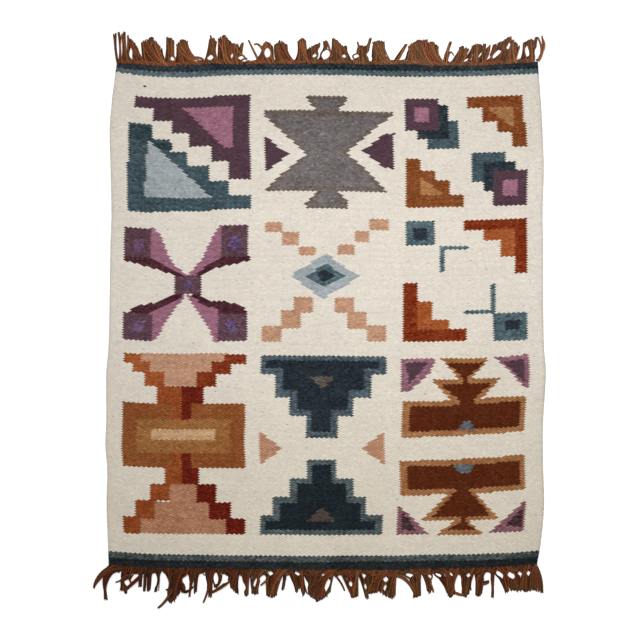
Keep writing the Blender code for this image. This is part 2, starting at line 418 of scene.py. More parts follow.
# The layers of a bunch, bottom first: pitch in millimetres, level from and to, how far the roots
# mix, width beside a plain strand's, and how far the tips stay back, in millimetres.
BUNCH_LAYERS = (
    (1.7, 0.0, 0.15, 0.1, 1.3, 1.2),
    (2.2, 0.35, 0.7, 0.45, 0.85, 0.6),
    (2.8, 0.7, 1.05, 0.8, 0.8, 0.0),
)

# The white ground and its light: the floor's colour, glow and reach in metres, the strength of the
# room and of the side light, and the soft box's power in watts, width and place in metres.
FLOOR_COLOUR = "#fbfbfb"
FLOOR_GLOW = 0.4
FLOOR_REACH = 30.0
ROOM_LIGHT = 0.32
SIDE_LIGHT = 0.6
SOFT_BOX_WATTS = 6.1
SOFT_BOX_WIDTH = 0.7
SOFT_BOX_PLACE = (0.10, 0.13, 0.92)

# How strongly the wool varies inside a stitch, and how many quarter stitches show a dark nep.
FIBRE_GRAIN = 1.5
NEP_SHARE = 0.003

# Where a wool's uneven shade comes from: each float, each pick, patches of dye and whole fields.
FLOAT_SHADE = 0.75
PICK_SHADE = 0.30
PATCH_SHADE = 0.55
FIELD_SHADE = 0.45
HUE_STRAY = 0.18

# The dyed wools: colour as it lies in the cloth, and how much single stitches stray from it, in
# steps of the 0 to 255 scale. The blues and greys are marled, so they stray most.
WOOLS = {
    "cream": ("#e2dacd", 4.0),
    "far navy": ("#2e363b", 8.0),
    "far slate": ("#5b6b71", 12.0),
    "near slate": ("#50595b", 13.0),
    "near navy": ("#292d2f", 6.0),
    "plum": ("#583f49", 4.5),
    "light plum": ("#644751", 7.5),
    "mauve": ("#a06d80", 6.5),
    "teal": ("#475960", 9.0),
    "deep teal": ("#36464b", 9.0),
    "mist blue": ("#a5adb0", 8.0),
    "taupe": ("#756e6d", 9.0),
    "dark taupe": ("#726660", 9.0),
    "ink blue": ("#2e373f", 8.0),
    "night blue": ("#29323a", 6.0),
    "deep night": ("#212b32", 4.5),
    "rust": ("#8a4c28", 8.0),
    "light rust": ("#8a4f2a", 8.0),
    "tan": ("#aa794e", 9.0),
    "light tan": ("#ae7c4e", 9.0),
    "violet": ("#745672", 8.0),
    "blue violet": ("#624c6e", 12.0),
    "wine": ("#522b34", 7.0),
    "peach": ("#c3967a", 8.0),
    "dusk peach": ("#bd8d72", 8.0),
    "brick peach": ("#b88467", 8.0),
    "storm blue": ("#576a70", 12.0),
    "red": ("#843417", 8.0),
    "madder": ("#702214", 6.0),
    "orange": ("#a85a2f", 8.0),
    "burnt orange": ("#9c5028", 8.0),
    "clay": ("#94562e", 6.5),
    "honey": ("#a26d3e", 8.0),
    "sand": ("#caa47d", 8.0),
    "slate": ("#515e66", 14.0),
    "deep slate": ("#556265", 13.0),
    "light bark": ("#645a53", 9.0),
    "bark": ("#564945", 5.0),
    "orchid": ("#986a78", 11.0),
    "deep orchid": ("#8c5f6a", 10.0),
    "deep plum": ("#4c3439", 8.0),
    "brown": ("#5e2a13", 4.5),
    "ochre": ("#a7734a", 9.0),
    "smoke": ("#69737a", 11.0),
    "tuft": ("#54483f", 8.0),
}
FAR_FRINGE_COLOURS = ("#985731", "#824c2c", "#a4643a", "#623e26", "#944c2d", "#765633")
NEAR_FRINGE_COLOURS = ("#753f20", "#61331a", "#844d25", "#492817", "#72371e", "#5b4123")

# How the dye varies along each fringe: the place across the rug in millimetres, and how much red,
# green and blue it has there beside the colours above.
FAR_DYE = ((-350.0, 0.94, 1.0, 1.1), (350.0, 1.06, 1.28, 1.7))
NEAR_DYE = (
    (-350.0, 0.78, 0.82, 1.04),
    (-170.0, 0.76, 0.80, 1.02),
    (-60.0, 1.10, 1.25, 1.48),
    (350.0, 1.18, 1.30, 1.52),
)

# The camera looks straight down. The photograph is this many pixels wide, and one of them takes in
# this much of the floor.
CAMERA_HEIGHT = 5.0
PHOTO_PIXELS = 640.0
PIXEL_ON_FLOOR = 1.633 * MILLIMETRE
FIELD_WIDTH = PHOTO_PIXELS * PIXEL_ON_FLOOR
FRAME_SHIFT = 0.5 * PIXEL_ON_FLOOR
SENSOR_WIDTH = 36.0


def linear(hex_colour):
    """The linear colour that Blender wants for an sRGB hex value."""
    return tuple(to_linear(int(hex_colour[at : at + 2], 16) / 255.0) for at in (1, 3, 5)) + (1.0,)


def to_linear(value):
    if value <= 0.04045:
        return value / 12.92
    return ((value + 0.055) / 1.055) ** 2.4


def smooth_between(rows, at, column):
    """The value of a column at a place between rows, on a smooth curve through the rows."""
    rising = rows if rows[0][0] < rows[-1][0] else rows[::-1]
    last = len(rising) - 1
    at = min(max(at, rising[0][0]), rising[last][0])
    low = 0
    while low < last - 1 and rising[low + 1][0] < at:
        low += 1
    before = rising[max(low - 1, 0)]
    start = rising[low]
    end = rising[low + 1]
    after = rising[min(low + 2, last)]
    span = end[0] - start[0]
    share = (at - start[0]) / span
    slope_in = (end[column] - before[column]) / (end[0] - before[0]) * span
    slope_out = (after[column] - start[column]) / (after[0] - start[0]) * span
    square = share * share
    cube = square * share
    return (
        (2.0 * cube - 3.0 * square + 1.0) * start[column]
        + (cube - 2.0 * square + share) * slope_in
        + (3.0 * square - 2.0 * cube) * end[column]
        + (cube - square) * slope_out
    )


def place_on_cloth(warp, pick):
    """Where a crossing of warp and pick lies on the floor, on the rug's own uneven outline."""
    across = warp / WARPS
    down = pick / PICKS
    far = smooth_between(FAR_END, across, 1)
    near = smooth_between(NEAR_END, across, 1)
    height = far + (near - far) * down
    height += smooth_between(FAR_LOOSENESS, across, 1) * max(1.0 - pick / LOOSE_PICKS, 0.0)
    from_near = (PICKS - pick) / LOOSE_PICKS
    height -= smooth_between(NEAR_LOOSENESS, across, 1) * max(1.0 - from_near, 0.0)
    left = smooth_between(SELVEDGES, height, 1)
    right = smooth_between(SELVEDGES, height, 2)
    return (left + (right - left) * across) * MILLIMETRE, height * MILLIMETRE


# The weaver's chart. It is drawn in shapes whose corners are counted in warps from the left
# selvedge and in picks from the far end, and each stitch takes the last wool laid over it.


def shape(chart, wool, *corners):
    """Lays a wool over every stitch inside a straight-sided shape."""
    low = max(math.floor(min(pick for _, pick in corners)), 0)
    high = min(math.ceil(max(pick for _, pick in corners)), PICKS)
    for pick in range(low, high + 1):
        crossings = []
        for (warp_a, pick_a), (warp_b, pick_b) in zip(corners, corners[1:] + corners[:1]):
            if (pick_a <= pick) != (pick_b <= pick):
                crossings.append(warp_a + (warp_b - warp_a) * (pick - pick_a) / (pick_b - pick_a))
        crossings.sort()
        for enter, leave in zip(crossings[::2], crossings[1::2]):
            for warp in range(max(math.ceil(enter), 0), min(math.floor(leave), WARPS) + 1):
                chart[pick][warp] = wool


def block(chart, wool, left, right, top, bottom):
    shape(chart, wool, (left, top), (right, top), (right, bottom), (left, bottom))


def tiers(chart, wool, *rows):
    """A stack of blocks of one wool, each given as left, right, top and bottom."""
    for left, right, top, bottom in rows:
        block(chart, wool, left, right, top, bottom)


def end_bands(chart):
    """The two dark bands that finish each woven end."""
    shape(
        chart, "far slate", (-1, -1), (179, -1), (179, 9), (48, 9), (38, 8), (20, 9), (8, 8.5),
        (-1, 6),
    )
    shape(chart, "far navy", (-1, -1), (179, -1), (179, 5), (8, 5), (-1, 3))
    block(chart, "near slate", -1, 179, 401, 413)
    block(chart, "near navy", -1, 179, 406, 413)


def facing_corners(chart):
    """First row, left: two stepped corners that face each other, each with a triangle inside."""
    tiers(
        chart,
        "plum",
        (9.5, 17.5, 25.5, 34.5),
        (17.5, 25.5, 25.5, 44.5),
        (25.5, 32.5, 25.5, 54.5),
        (32.5, 41.5, 25.5, 66),
        (41.5, 48.5, 25, 79),
        (48.5, 57.5, 24.5, 93.5),
    )
    shape(chart, "mauve", (30, 34), (50.5, 34), (50.5, 68), (47, 67.5))
    tiers(
        chart,
        "teal",
        (7.5, 17.5, 47.5, 80.5),
        (6.5, 17.5, 80.5, 120.5),
        (17.5, 24.5, 59.5, 119.5),
        (24.5, 31.5, 69.5, 118.5),
        (31.5, 40.5, 81.5, 118.5),
        (40.5, 48.5, 94.5, 118),
        (48.5, 57.5, 106.5, 117.5),
    )
    shape(chart, "deep teal", (8, 50), (17, 50), (17, 61), (25, 62), (25, 69), (18, 66), (8, 60))
    shape(chart, "mist blue", (15.5, 59.5), (41, 107), (13.5, 108))


def hourglass(chart):
    """First row, middle: a grey hourglass between two plum triangles."""
    shape(chart, "dark taupe", (80.5, 26), (98, 25.5), (97, 30), (93, 38), (85.5, 38), (81.5, 31))
    shape(chart, "taupe", (83, 28.5), (95.5, 28), (95, 31), (92, 38), (86.5, 38), (83.5, 31))
    shape(
        chart, "dark taupe", (64, 38), (116, 37), (116, 41.5), (111.5, 48), (97, 72),
        (105.5, 86.5), (114.5, 104), (63, 104), (68.5, 92), (80.5, 73.5), (73.5, 60), (64, 43),
    )
    shape(
        chart, "taupe", (67, 42.5), (113, 42), (109.5, 48), (95, 72), (103.5, 86.5), (109.5, 99),
        (67.5, 100), (71, 92), (82.5, 73.5), (75.5, 60),
    )
    shape(
        chart, "dark taupe", (85.5, 103), (92.5, 103), (96, 108.5), (98, 113.5), (97, 117.5),
        (80.5, 117.5), (79.5, 114), (82, 109.5),
    )
    shape(chart, "taupe", (87, 103), (91, 103), (94, 109.5), (95.5, 114.5), (82.5, 115), (84, 110))
    shape(
        chart, "plum", (63.5, 59.5), (65.5, 60.5), (69.5, 68), (73.5, 72.5), (69.5, 79),
        (64.5, 86.5), (63, 85.5),
    )
    shape(
        chart, "plum", (116, 55), (113, 56), (109.5, 61), (104, 70), (107.5, 76), (112, 83),
        (116, 84.5),
    )


def overlapping_squares(chart):
    """First row, right: squares that overlap in two corners, and two stepped rust corners."""
    block(chart, "teal", 130.5, 143.5, 44.5, 67.5)
    block(chart, "ink blue", 126.5, 139.5, 32, 60)
    block(chart, "night blue", 131, 139.5, 53.5, 60)
    block(chart, "plum", 121.5, 135.5, 27, 53)
    block(chart, "mauve", 125.5, 131.5, 33.5, 45.5)
    shape(
        chart, "rust", (147.5, 26), (170, 25.5), (170.5, 40), (171.5, 55), (171.5, 67.5),
        (165.5, 67.5), (165.5, 56), (159.5, 56), (159.5, 46.5), (153.5, 46.5), (153.5, 35),
        (147.5, 35),
    )
    shape(chart, "tan", (155.5, 34.5), (166.5, 34.5), (166, 52))
    tiers(
        chart,
        "light rust",
        (121.5, 127.5, 75.5, 115.5),
        (127.5, 133.5, 85.5, 115.5),
        (133.5, 139.5, 94, 115.5),
        (139.5, 145.5, 105.5, 115.5),
    )
    shape(chart, "light tan", (127.5, 91), (137, 105.5), (127.5, 105.5))
    block(chart, "teal", 149, 162.5, 71.5, 95.5)
    block(chart, "ink blue", 153.5, 166.5, 79.5, 103.5)
    block(chart, "plum", 157.5, 171, 87, 115.5)
    block(chart, "mauve", 161.5, 167.5, 95, 107.5)


def saltire(chart):
    """Second row, left: a cross of mauve wedges with a plum square at each end."""
    shape(
        chart, "wine", (5.5, 157), (17, 156.5), (20.5, 161), (26.5, 166.5), (31.5, 172),
        (28, 173.5), (23.5, 169.5), (15.5, 165), (11, 162.5), (5.5, 160.5),
    )
    shape(
        chart, "wine", (45, 156.5), (57, 156.5), (57, 159.5), (52.5, 162), (46.5, 164.5),
        (41, 167.5), (36, 173), (35, 172), (36, 168.5), (41, 162.5),
    )
    shape(
        chart, "wine", (5.5, 205), (12, 197.5), (17, 195), (22.5, 191.5), (26.5, 186.5),
        (29, 185.5), (29, 190), (22.5, 196.5), (17.5, 204), (17.5, 206), (5.5, 206),
    )
    shape(
        chart, "wine", (33.5, 186), (37, 187), (41, 192), (47, 193), (51.5, 195), (54.5, 197.5),
        (56.5, 202.5), (56.5, 206), (44.5, 206), (44, 200), (38.5, 195.5), (33.5, 190),
    )
    shape(
        chart, "mauve", (16.5, 133), (18, 133), (20.5, 138.5), (22, 144.5), (23.5, 154),
        (27, 163.5), (32, 172), (31, 172), (26.5, 166.5), (20.5, 161), (16.5, 156.5),
    )
    shape(
        chart, "mauve", (45.5, 131), (44.5, 131), (43.5, 133.5), (42.5, 138), (40.5, 145.5),
        (38.5, 155), (36, 162), (33, 169), (33, 172), (35, 172), (36, 168.5), (41, 162.5),
        (45.5, 156.5),
    )
    shape(
        chart, "mauve", (17, 202.5), (22.5, 196), (29, 189.5), (30.5, 186), (30.5, 191),
        (27.5, 196), (25.5, 202.5), (23.5, 208), (21.5, 215.5), (19.5, 224), (17, 226.5),
    )
    shape(
        chart, "mauve", (31, 186), (34, 189.5), (38.5, 195), (44.5, 200), (44.5, 226.5),
        (43, 226.5), (41, 216), (38.5, 208.5), (36, 200), (33.5, 193),
    )
    block(chart, "light plum", 6, 16.5, 134, 157.5)
    block(chart, "light plum", 45.5, 56.5, 131, 157)
    block(chart, "light plum", 6, 17.5, 204, 226)
    block(chart, "light plum", 44.5, 56.5, 204, 225.5)
    block(chart, "light plum", 27, 37.5, 171.5, 186.5)
    block(chart, "violet", 9.5, 13.5, 142.5, 152.5)
    block(chart, "blue violet", 48.5, 53.5, 139.5, 151.5)
    block(chart, "violet", 9.5, 14, 209.5, 219)
    block(chart, "blue violet", 48, 52, 208.5, 218.5)
    block(chart, "blue violet", 30.5, 33.5, 176, 181.5)


def stepping_stones(chart):
    """Second row, middle: a blue lozenge with a line of peach blocks running out of each side."""
    tiers(
        chart,
        "peach",
        (63.5, 70.5, 129, 136.5),
        (70.5, 77.5, 136.5, 148),
        (77.5, 84.5, 148.5, 155.5),
        (106.5, 114.5, 126, 134.5),
        (100.5, 106.5, 135.5, 144.5),
        (93.5, 100.5, 146.5, 154.5),
        (75.5, 83.5, 189.5, 202.5),
        (70.5, 78.5, 200.5, 215.5),
        (62.5, 70.5, 213.5, 226.5),
        (92.5, 100.5, 189.5, 203),
        (97.5, 105.5, 201.5, 215.5),
        (105.5, 113.5, 213, 226),
    )
    shape(chart, "mist blue", (74, 172.5), (88.5, 153.5), (102.5, 172.5), (87.5, 191))
    shape(chart, "storm blue", (80.5, 172.5), (89, 162), (96.5, 172.5), (88.5, 181.5))
    shape(chart, "ink blue", (84.5, 172), (88.5, 166.5), (92.5, 172), (88.5, 177))


def nested_angles(chart):
    """Second row, right: right angles nested in each other, with small blue ones between."""
    block(chart, "storm blue", 121.5, 133.5, 126.5, 146.5)
    block(chart, "ink blue", 124.5, 130.5, 132.5, 142.5)
    tiers(chart, "storm blue", (135.5, 147.5, 147.5, 150.5), (135.5, 137.5, 148.5, 169))
    tiers(chart, "red", (145.5, 171.5, 126.5, 134.5), (166.5, 171.5, 126.5, 171.5))
    tiers(chart, "orange", (153.5, 166.5, 134.5, 143.5), (160.5, 166.5, 134.5, 157.5))
    tiers(chart, "red", (120.5, 126.5, 177.5, 225.5), (120.5, 146.5, 215.5, 225.5))
    tiers(chart, "orange", (126.5, 132.5, 192.5, 215.5), (126.5, 139.5, 207.5, 215.5))
    tiers(chart, "storm blue", (156.5, 158.5, 179.5, 203.5), (145.5, 158.5, 200.5, 203.5))
    block(chart, "storm blue", 157.5, 171.5, 203.5, 226.5)
    block(chart, "ink blue", 162.5, 168.5, 209.5, 217.5)


def stepped_altar(chart):
    """Third row, left: a brown panel between two stepped pyramids in peach, orange and red."""
    tiers(
        chart,
        "peach",
        (13.5, 48.5, 235.5, 242.5),
        (17.5, 43.5, 242.5, 250.5),
        (23.5, 36.5, 250.5, 262.5),
    )
    tiers(
        chart,
        "orange",
        (6.5, 13.5, 237, 245),
        (10.5, 17.5, 242.5, 251.5),
        (15.5, 23.5, 250.5, 263),
    )
    tiers(
        chart,
        "red",
        (47.5, 56.5, 236.5, 244.5),
        (42.5, 50.5, 242.5, 252.5),
        (36.5, 44.5, 250.5, 262.5),
    )
    block(chart, "burnt orange", 20.5, 30.5, 262.5, 277)
    block(chart, "madder", 30.5, 39.5, 262.5, 277)
    block(chart, "clay", 6.5, 56.5, 276.5, 329.5)
    block(chart, "honey", 12.5, 50.5, 289.5, 317.5)
    block(chart, "sand", 18.5, 44.5, 297.5, 306.5)
    tiers(
        chart,
        "burnt orange",
        (26.5, 30.5, 276.5, 289.5),
        (26.5, 30.5, 317.5, 330),
        (23.5, 30.5, 329.5, 342.5),
    )
    tiers(
        chart,
        "madder",
        (30.5, 34.5, 276.5, 289.5),
        (30.5, 34.5, 317.5, 330),
        (30.5, 37.5, 329.5, 342.5),
    )
    tiers(
        chart,
        "brick peach",
        (25.5, 36.5, 342.5, 357.5),
        (19.5, 42.5, 357.5, 371),
        (13.5, 48.5, 370.5, 384),
    )
    tiers(
        chart,
        "burnt orange",
        (17.5, 25.5, 342.5, 357),
        (11.5, 19.5, 357, 371.5),
        (6.5, 13.5, 370.5, 384.5),
    )
    tiers(
        chart,
        "madder",
        (36.5, 44.5, 342.5, 358),
        (41.5, 50.5, 357.5, 371.5),
        (48.5, 56.5, 370.5, 384),
    )
    shape(chart, "dusk peach", (29, 370.5), (31.5, 363), (33.5, 370.5))


def dark_pyramids(chart):
    """Third row, middle: two stepped pyramids, point to point, with a taupe triangle in each."""
    tiers(
        chart,
        "slate",
        (62.5, 113.5, 237.5, 252.5),
        (68.5, 107.5, 252.5, 271.5),
        (74.5, 100.5, 271.5, 286.5),
        (81.5, 94.5, 286.5, 304.5),
    )
    tiers(
        chart,
        "night blue",
        (64.5, 110.5, 242, 248),
        (71.5, 104.5, 247.5, 266),
        (77.5, 98.5, 265.5, 282),
        (83.5, 91.5, 281.5, 299.5),
    )
    shape(chart, "light bark", (82.5, 254.5), (92.5, 254.5), (87.5, 264.5))
    tiers(
        chart,
        "deep slate",
        (81.5, 93.5, 322.5, 338.5),
        (74.5, 100.5, 338, 353),
        (67.5, 105.5, 352.5, 368),
        (62.5, 112.5, 367.5, 384),
    )
    tiers(
        chart,
        "deep night",
        (83.5, 91.5, 326.5, 342),
        (77.5, 97.5, 341.5, 357.5),
        (70.5, 103.5, 357.5, 372.5),
        (64.5, 109.5, 372.5, 379.5),
    )
    shape(chart, "bark", (81.5, 373), (87.5, 361), (93.5, 373))
    shape(chart, "dusk peach", (62.5, 299), (72, 313), (62.5, 326.5))
    shape(chart, "dusk peach", (113.5, 299), (104, 313), (113.5, 326.5))


def ochre_tree(chart):
    """Third row, right: a brown tree of bars and triangles edged in ochre, plum at the corners."""
    shape(chart, "orchid", (119.5, 239.5), (134, 239.5), (130.5, 253), (123, 266.5), (119.5, 266.5))
    shape(chart, "plum", (121.5, 242.5), (131, 242.5), (122.5, 261))
    shape(chart, "orchid", (158, 240), (171.5, 237.5), (171.5, 265.5), (170, 265.5))
    shape(chart, "plum", (161, 243.5), (169.5, 241.5), (169.5, 261))
    shape(chart, "deep orchid", (118.5, 358.5), (132, 384), (118.5, 384))
    shape(chart, "deep plum", (120.5, 365), (127, 380.5), (120.5, 379.5))
    shape(chart, "deep orchid", (170.5, 357.5), (170.5, 384), (156, 384))
    shape(chart, "deep plum", (169.5, 365), (169.5, 380.5), (162.5, 378))
    shape(chart, "ochre", (135.5, 239.5), (155.5, 239.5), (148, 256.5), (143, 256.5))
    shape(chart, "ochre", (131.5, 256.5), (160, 256.5), (152, 275), (140.5, 275))
    shape(
        chart, "brown", (138, 243.5), (153.5, 243.5), (146.5, 255), (146.5, 261), (144.5, 261),
        (144.5, 255),
    )
    shape(chart, "ochre", (120.5, 275), (170.5, 272), (170.5, 301.5), (120.5, 304.5))
    shape(
        chart, "brown", (135.5, 260.5), (156.5, 260.5), (149, 274), (149, 280), (143.5, 280),
        (143.5, 274),
    )
    shape(chart, "brown", (123.5, 279), (168.5, 276.5), (168.5, 297), (123.5, 299.5))
    shape(chart, "smoke", (143.5, 298.5), (145.5, 292), (148.5, 292), (150.5, 298.5))
    shape(chart, "ochre", (119.5, 323.5), (170.5, 320.5), (170.5, 349.5), (119.5, 351.5))
    shape(chart, "ochre", (139, 350), (150, 350), (160, 372.5), (128, 372.5))
    shape(chart, "brown", (122.5, 328), (168.5, 325.5), (168.5, 345.5), (122.5, 347))
    shape(chart, "brown", (143.5, 345), (146.5, 345), (156.5, 369.5), (132.5, 369.5))
    shape(chart, "smoke", (141, 326.5), (150, 326.5), (147.5, 333.5), (144, 333.5))
    shape(chart, "ochre", (143, 372), (147, 372), (154, 384.5), (134.5, 384.5))
    shape(
        chart, "brown", (144.5, 368), (146.5, 368), (146.5, 374), (151, 380.5), (139.5, 380.5),
        (144.5, 374),
    )


# Ends of dark wool left showing at the corners of motifs: warp and pick.
TUFTS = (
    (59, 26),
    (117, 55),
    (97, 216),
    (115, 172),
    (136, 239),
    (172, 237),
    (57, 276),
    (5, 330),
    (95, 322),
    (172, 357),
    (1, 14),
    (13, 17),
)


def woven_chart():
    """The wool of each stitch, by pick and warp."""
    chart = [["cream"] * (WARPS + 1) for _ in range(PICKS + 1)]
    for motif in (
        end_bands,
        facing_corners,
        hourglass,
        overlapping_squares,
        saltire,
        stepping_stones,
        nested_angles,
        stepped_altar,
        dark_pyramids,
        ochre_tree,
    ):
        motif(chart)
    for warp, pick in TUFTS:
        chart[pick][warp] = "tuft"
    return chart


def soft_noise(seed, columns, rows):
    """A small field of random values, and a function that reads it smoothly between them."""
    dice = random.Random(seed)
    field = [[dice.uniform(-1.0, 1.0) for _ in range(columns + 1)] for _ in range(rows + 1)]

    def read(across, down):
        column = min(max(across, 0.0), 0.9999) * columns
        row = min(max(down, 0.0), 0.9999) * rows
        left = int(column)
        top = int(row)
        share_x = column - left
        share_y = row - top
        share_x = share_x * share_x * (3.0 - 2.0 * share_x)
        share_y = share_y * share_y * (3.0 - 2.0 * share_y)
        upper = field[top][left] * (1.0 - share_x) + field[top][left + 1] * share_x
        lower = field[top + 1][left] * (1.0 - share_x) + field[top + 1][left + 1] * share_x
        return upper * (1.0 - share_y) + lower * share_y

    return read


def stitch_colours(chart):
    """The linear colour of each stitch: its wool, uneven dye, the stray of each pick and float, and
    a slight yellow tint painted over the near end, a painted shade of the dimmer light there. The
    fourth value is how grainy that wool is."""
    dice = random.Random(11)
    patches = soft_noise(5, 26, 34)
    fields = soft_noise(8, 7, 9)
    pick_tones = [dice.gauss(0.0, 1.0) for _ in range(PICKS + 1)]
    colours = []
    for pick in range(PICKS + 1):
        row = []
        for warp in range(WARPS + 1):
            hex_colour, stray = WOOLS[chart[pick][warp]]
            across = warp / WARPS
            down = pick / PICKS
            shade = (
                FLOAT_SHADE * dice.gauss(0.0, 1.0)
                + PICK_SHADE * pick_tones[pick]
                + PATCH_SHADE * patches(across, down)
                + FIELD_SHADE * fields(across, down)
            ) * stray
            # Painted shade: towards the near end the wool loses a little green and more blue, a warm
            # tint for the dimmer light there.
            painted_near_tint = min(max((down - 0.5) / 0.4, 0.0), 1.0)
            channels = []
            for at, painted_tint_loss in ((1, 0.0), (3, 0.008), (5, 0.03)):
                level = int(hex_colour[at : at + 2], 16) * (1.0 - painted_tint_loss * painted_near_tint)
                level += shade + HUE_STRAY * stray * dice.gauss(0.0, 1.0)
                channels.append(to_linear(min(max(level, 4.0), 250.0) / 255.0))
            row.append((channels[0], channels[1], channels[2], stray / int(hex_colour[3:5], 16)))
        colours.append(row)
    return colours


def add_node(tree, kind, inputs=None, **settings):
    """Adds a node with its settings. Each input gets a value or another node's output."""
    node = tree.nodes.new(kind)
    for name, value in settings.items():
        setattr(node, name, value)
    for name, value in (inputs or {}).items():
        if isinstance(value, bpy.types.NodeSocket):
            tree.links.new(value, node.inputs[name])
        else:
            node.inputs[name].default_value = value
    return node


def start_material(name):
    finish = bpy.data.materials.new(name)
    finish.use_nodes = True
    tree = finish.node_tree
    tree.nodes.clear()
    return finish, tree


def woven_wool():
    """Hand-spun, hand-dyed sheep's wool, beaten down hard over the warp. The eye sees small oval
    floats, a matt surface with a soft sheen, and fibres that run across the rug. Shade is painted
    into the dips between the floats: deep in dark wool, and hardly any in pale wool, because light
    scatters through it. Towards the near end the painted dip shade is deeper. The floats are 8 by
    4 mm; the fibres are drawn at 0.5 mm and the slubs at 2 mm, coarser than real."""
    finish, tree = start_material("hand_spun_wool_weft")
    dye = add_node(tree, "ShaderNodeAttribute", attribute_name="stitch_colour")
    crown = add_node(tree, "ShaderNodeAttribute", attribute_name="crown")
    place = add_node(tree, "ShaderNodeTexCoord")
    along_fibres = add_node(
        tree,
        "ShaderNodeMapping",
        {
            "Vector": place.outputs["Object"],
            "Rotation": (0.0, 0.0, 0.12),
            "Scale": (260.0, 2000.0, 1.0),
        },
    )
    fibres = add_node(
        tree,
        "ShaderNodeTexNoise",
        {"Vector": along_fibres.outputs["Vector"], "Scale": 1.0, "Detail": 3.0},
    )
    paleness = add_node(tree, "ShaderNodeRGBToBW", {"Color": dye.outputs["Color"]})
    # Painted shade in the dips between floats: how dark it goes, deep for dark wool and slight for
    # pale.
    dip_shade_by_paleness = add_node(
        tree,
        "ShaderNodeMapRange",
        {"Value": paleness.outputs["Val"], "From Max": 0.6, "To Min": 0.68, "To Max": 0.92},
    )
    spot = add_node(tree, "ShaderNodeSeparateXYZ", {"Vector": place.outputs["Object"]})
    # The painted dip shade grows deeper towards the near end.
    near_end_dip_shade = add_node(
        tree,
        "ShaderNodeMapRange",
        {
            "Value": spot.outputs["Y"],
            "From Min": 0.05,
            "From Max": -0.2,
            "To Min": 0.0,
            "To Max": 0.08,
        },
    )
    dip_shade_floor = add_node(
        tree,
        "ShaderNodeMath",
        {0: dip_shade_by_paleness.outputs["Result"], 1: near_end_dip_shade.outputs["Result"]},
        operation="SUBTRACT",
    )
    # The dips: low between the floats, where shade is painted into the colour; they also raise the
    # bump.
    dips = add_node(
        tree,
        "ShaderNodeMapRange",
        {
            "Value": crown.outputs["Fac"],
            "From Max": 0.55,
            "To Min": dip_shade_floor.outputs["Value"],
            "To Max": 1.0,
        },
        interpolation_type="SMOOTHSTEP",
    )
    slubs = add_node(
        tree,
        "ShaderNodeTexNoise",
        {"Vector": place.outputs["Object"], "Scale": 480.0, "Detail": 2.0},
    )
    slub_depth = add_node(
        tree,
        "ShaderNodeMapRange",
        {"Value": paleness.outputs["Val"], "From Max": 0.6, "To Min": 0.20, "To Max": 0.05},
    )
    slub_shade = add_node(
        tree,
        "ShaderNodeMapRange",
        {
            "Value": slubs.outputs["Fac"],
            "From Min": 0.5,
            "From Max": 0.75,
            "To Min": 0.0,
            "To Max": slub_depth.outputs["Result"],
        },
        clamp=False,
    )
    slub_tone = add_node(
        tree,
        "ShaderNodeMath",
        {0: slub_shade.outputs["Result"], 1: 1.0},
        operation="ADD",
    )
    fuzz = add_node(
        tree,
        "ShaderNodeMapRange",
        {
            "Value": fibres.outputs["Fac"],
            "From Min": 0.3,
            "From Max": 0.7,
            "To Min": 0.95,
            "To Max": 1.04,
        },
    )
    weave_shade = add_node(
        tree,
        "ShaderNodeMath",
        {0: dips.outputs["Result"], 1: fuzz.outputs["Result"]},
        operation="MULTIPLY",
    )
    shade = add_node(
        tree,
        "ShaderNodeMath",
        {0: weave_shade.outputs["Value"], 1: slub_tone.outputs["Value"]},
        operation="MULTIPLY",
    )
    colour = add_node(
        tree,
        "ShaderNodeVectorMath",
        {0: dye.outputs["Color"], "Scale": shade.outputs["Value"]},
        operation="SCALE",
    )
    lift = add_node(
        tree,
        "ShaderNodeMath",
        {0: fibres.outputs["Fac"], 1: 0.35, 2: dips.outputs["Result"]},
        operation="MULTIPLY_ADD",
    )
    relief = add_node(
        tree,
        "ShaderNodeBump",
        {"Height": lift.outputs["Value"], "Strength": 0.5, "Distance": 0.0005},
    )
    shader = add_node(
        tree,
        "ShaderNodeBsdfPrincipled",
        {
            "Base Color": colour.outputs["Vector"],
            "Normal": relief.outputs["Normal"],
            "Roughness": 0.95,
            "Metallic": 0.0,
            "IOR": 1.5,
            "Specular IOR Level": 0.08,
            "Sheen Weight": 0.03,
            "Sheen Roughness": 0.5,
        },
    )
    add_node(tree, "ShaderNodeOutputMaterial", {"Surface": shader.outputs["BSDF"]})
    return finish


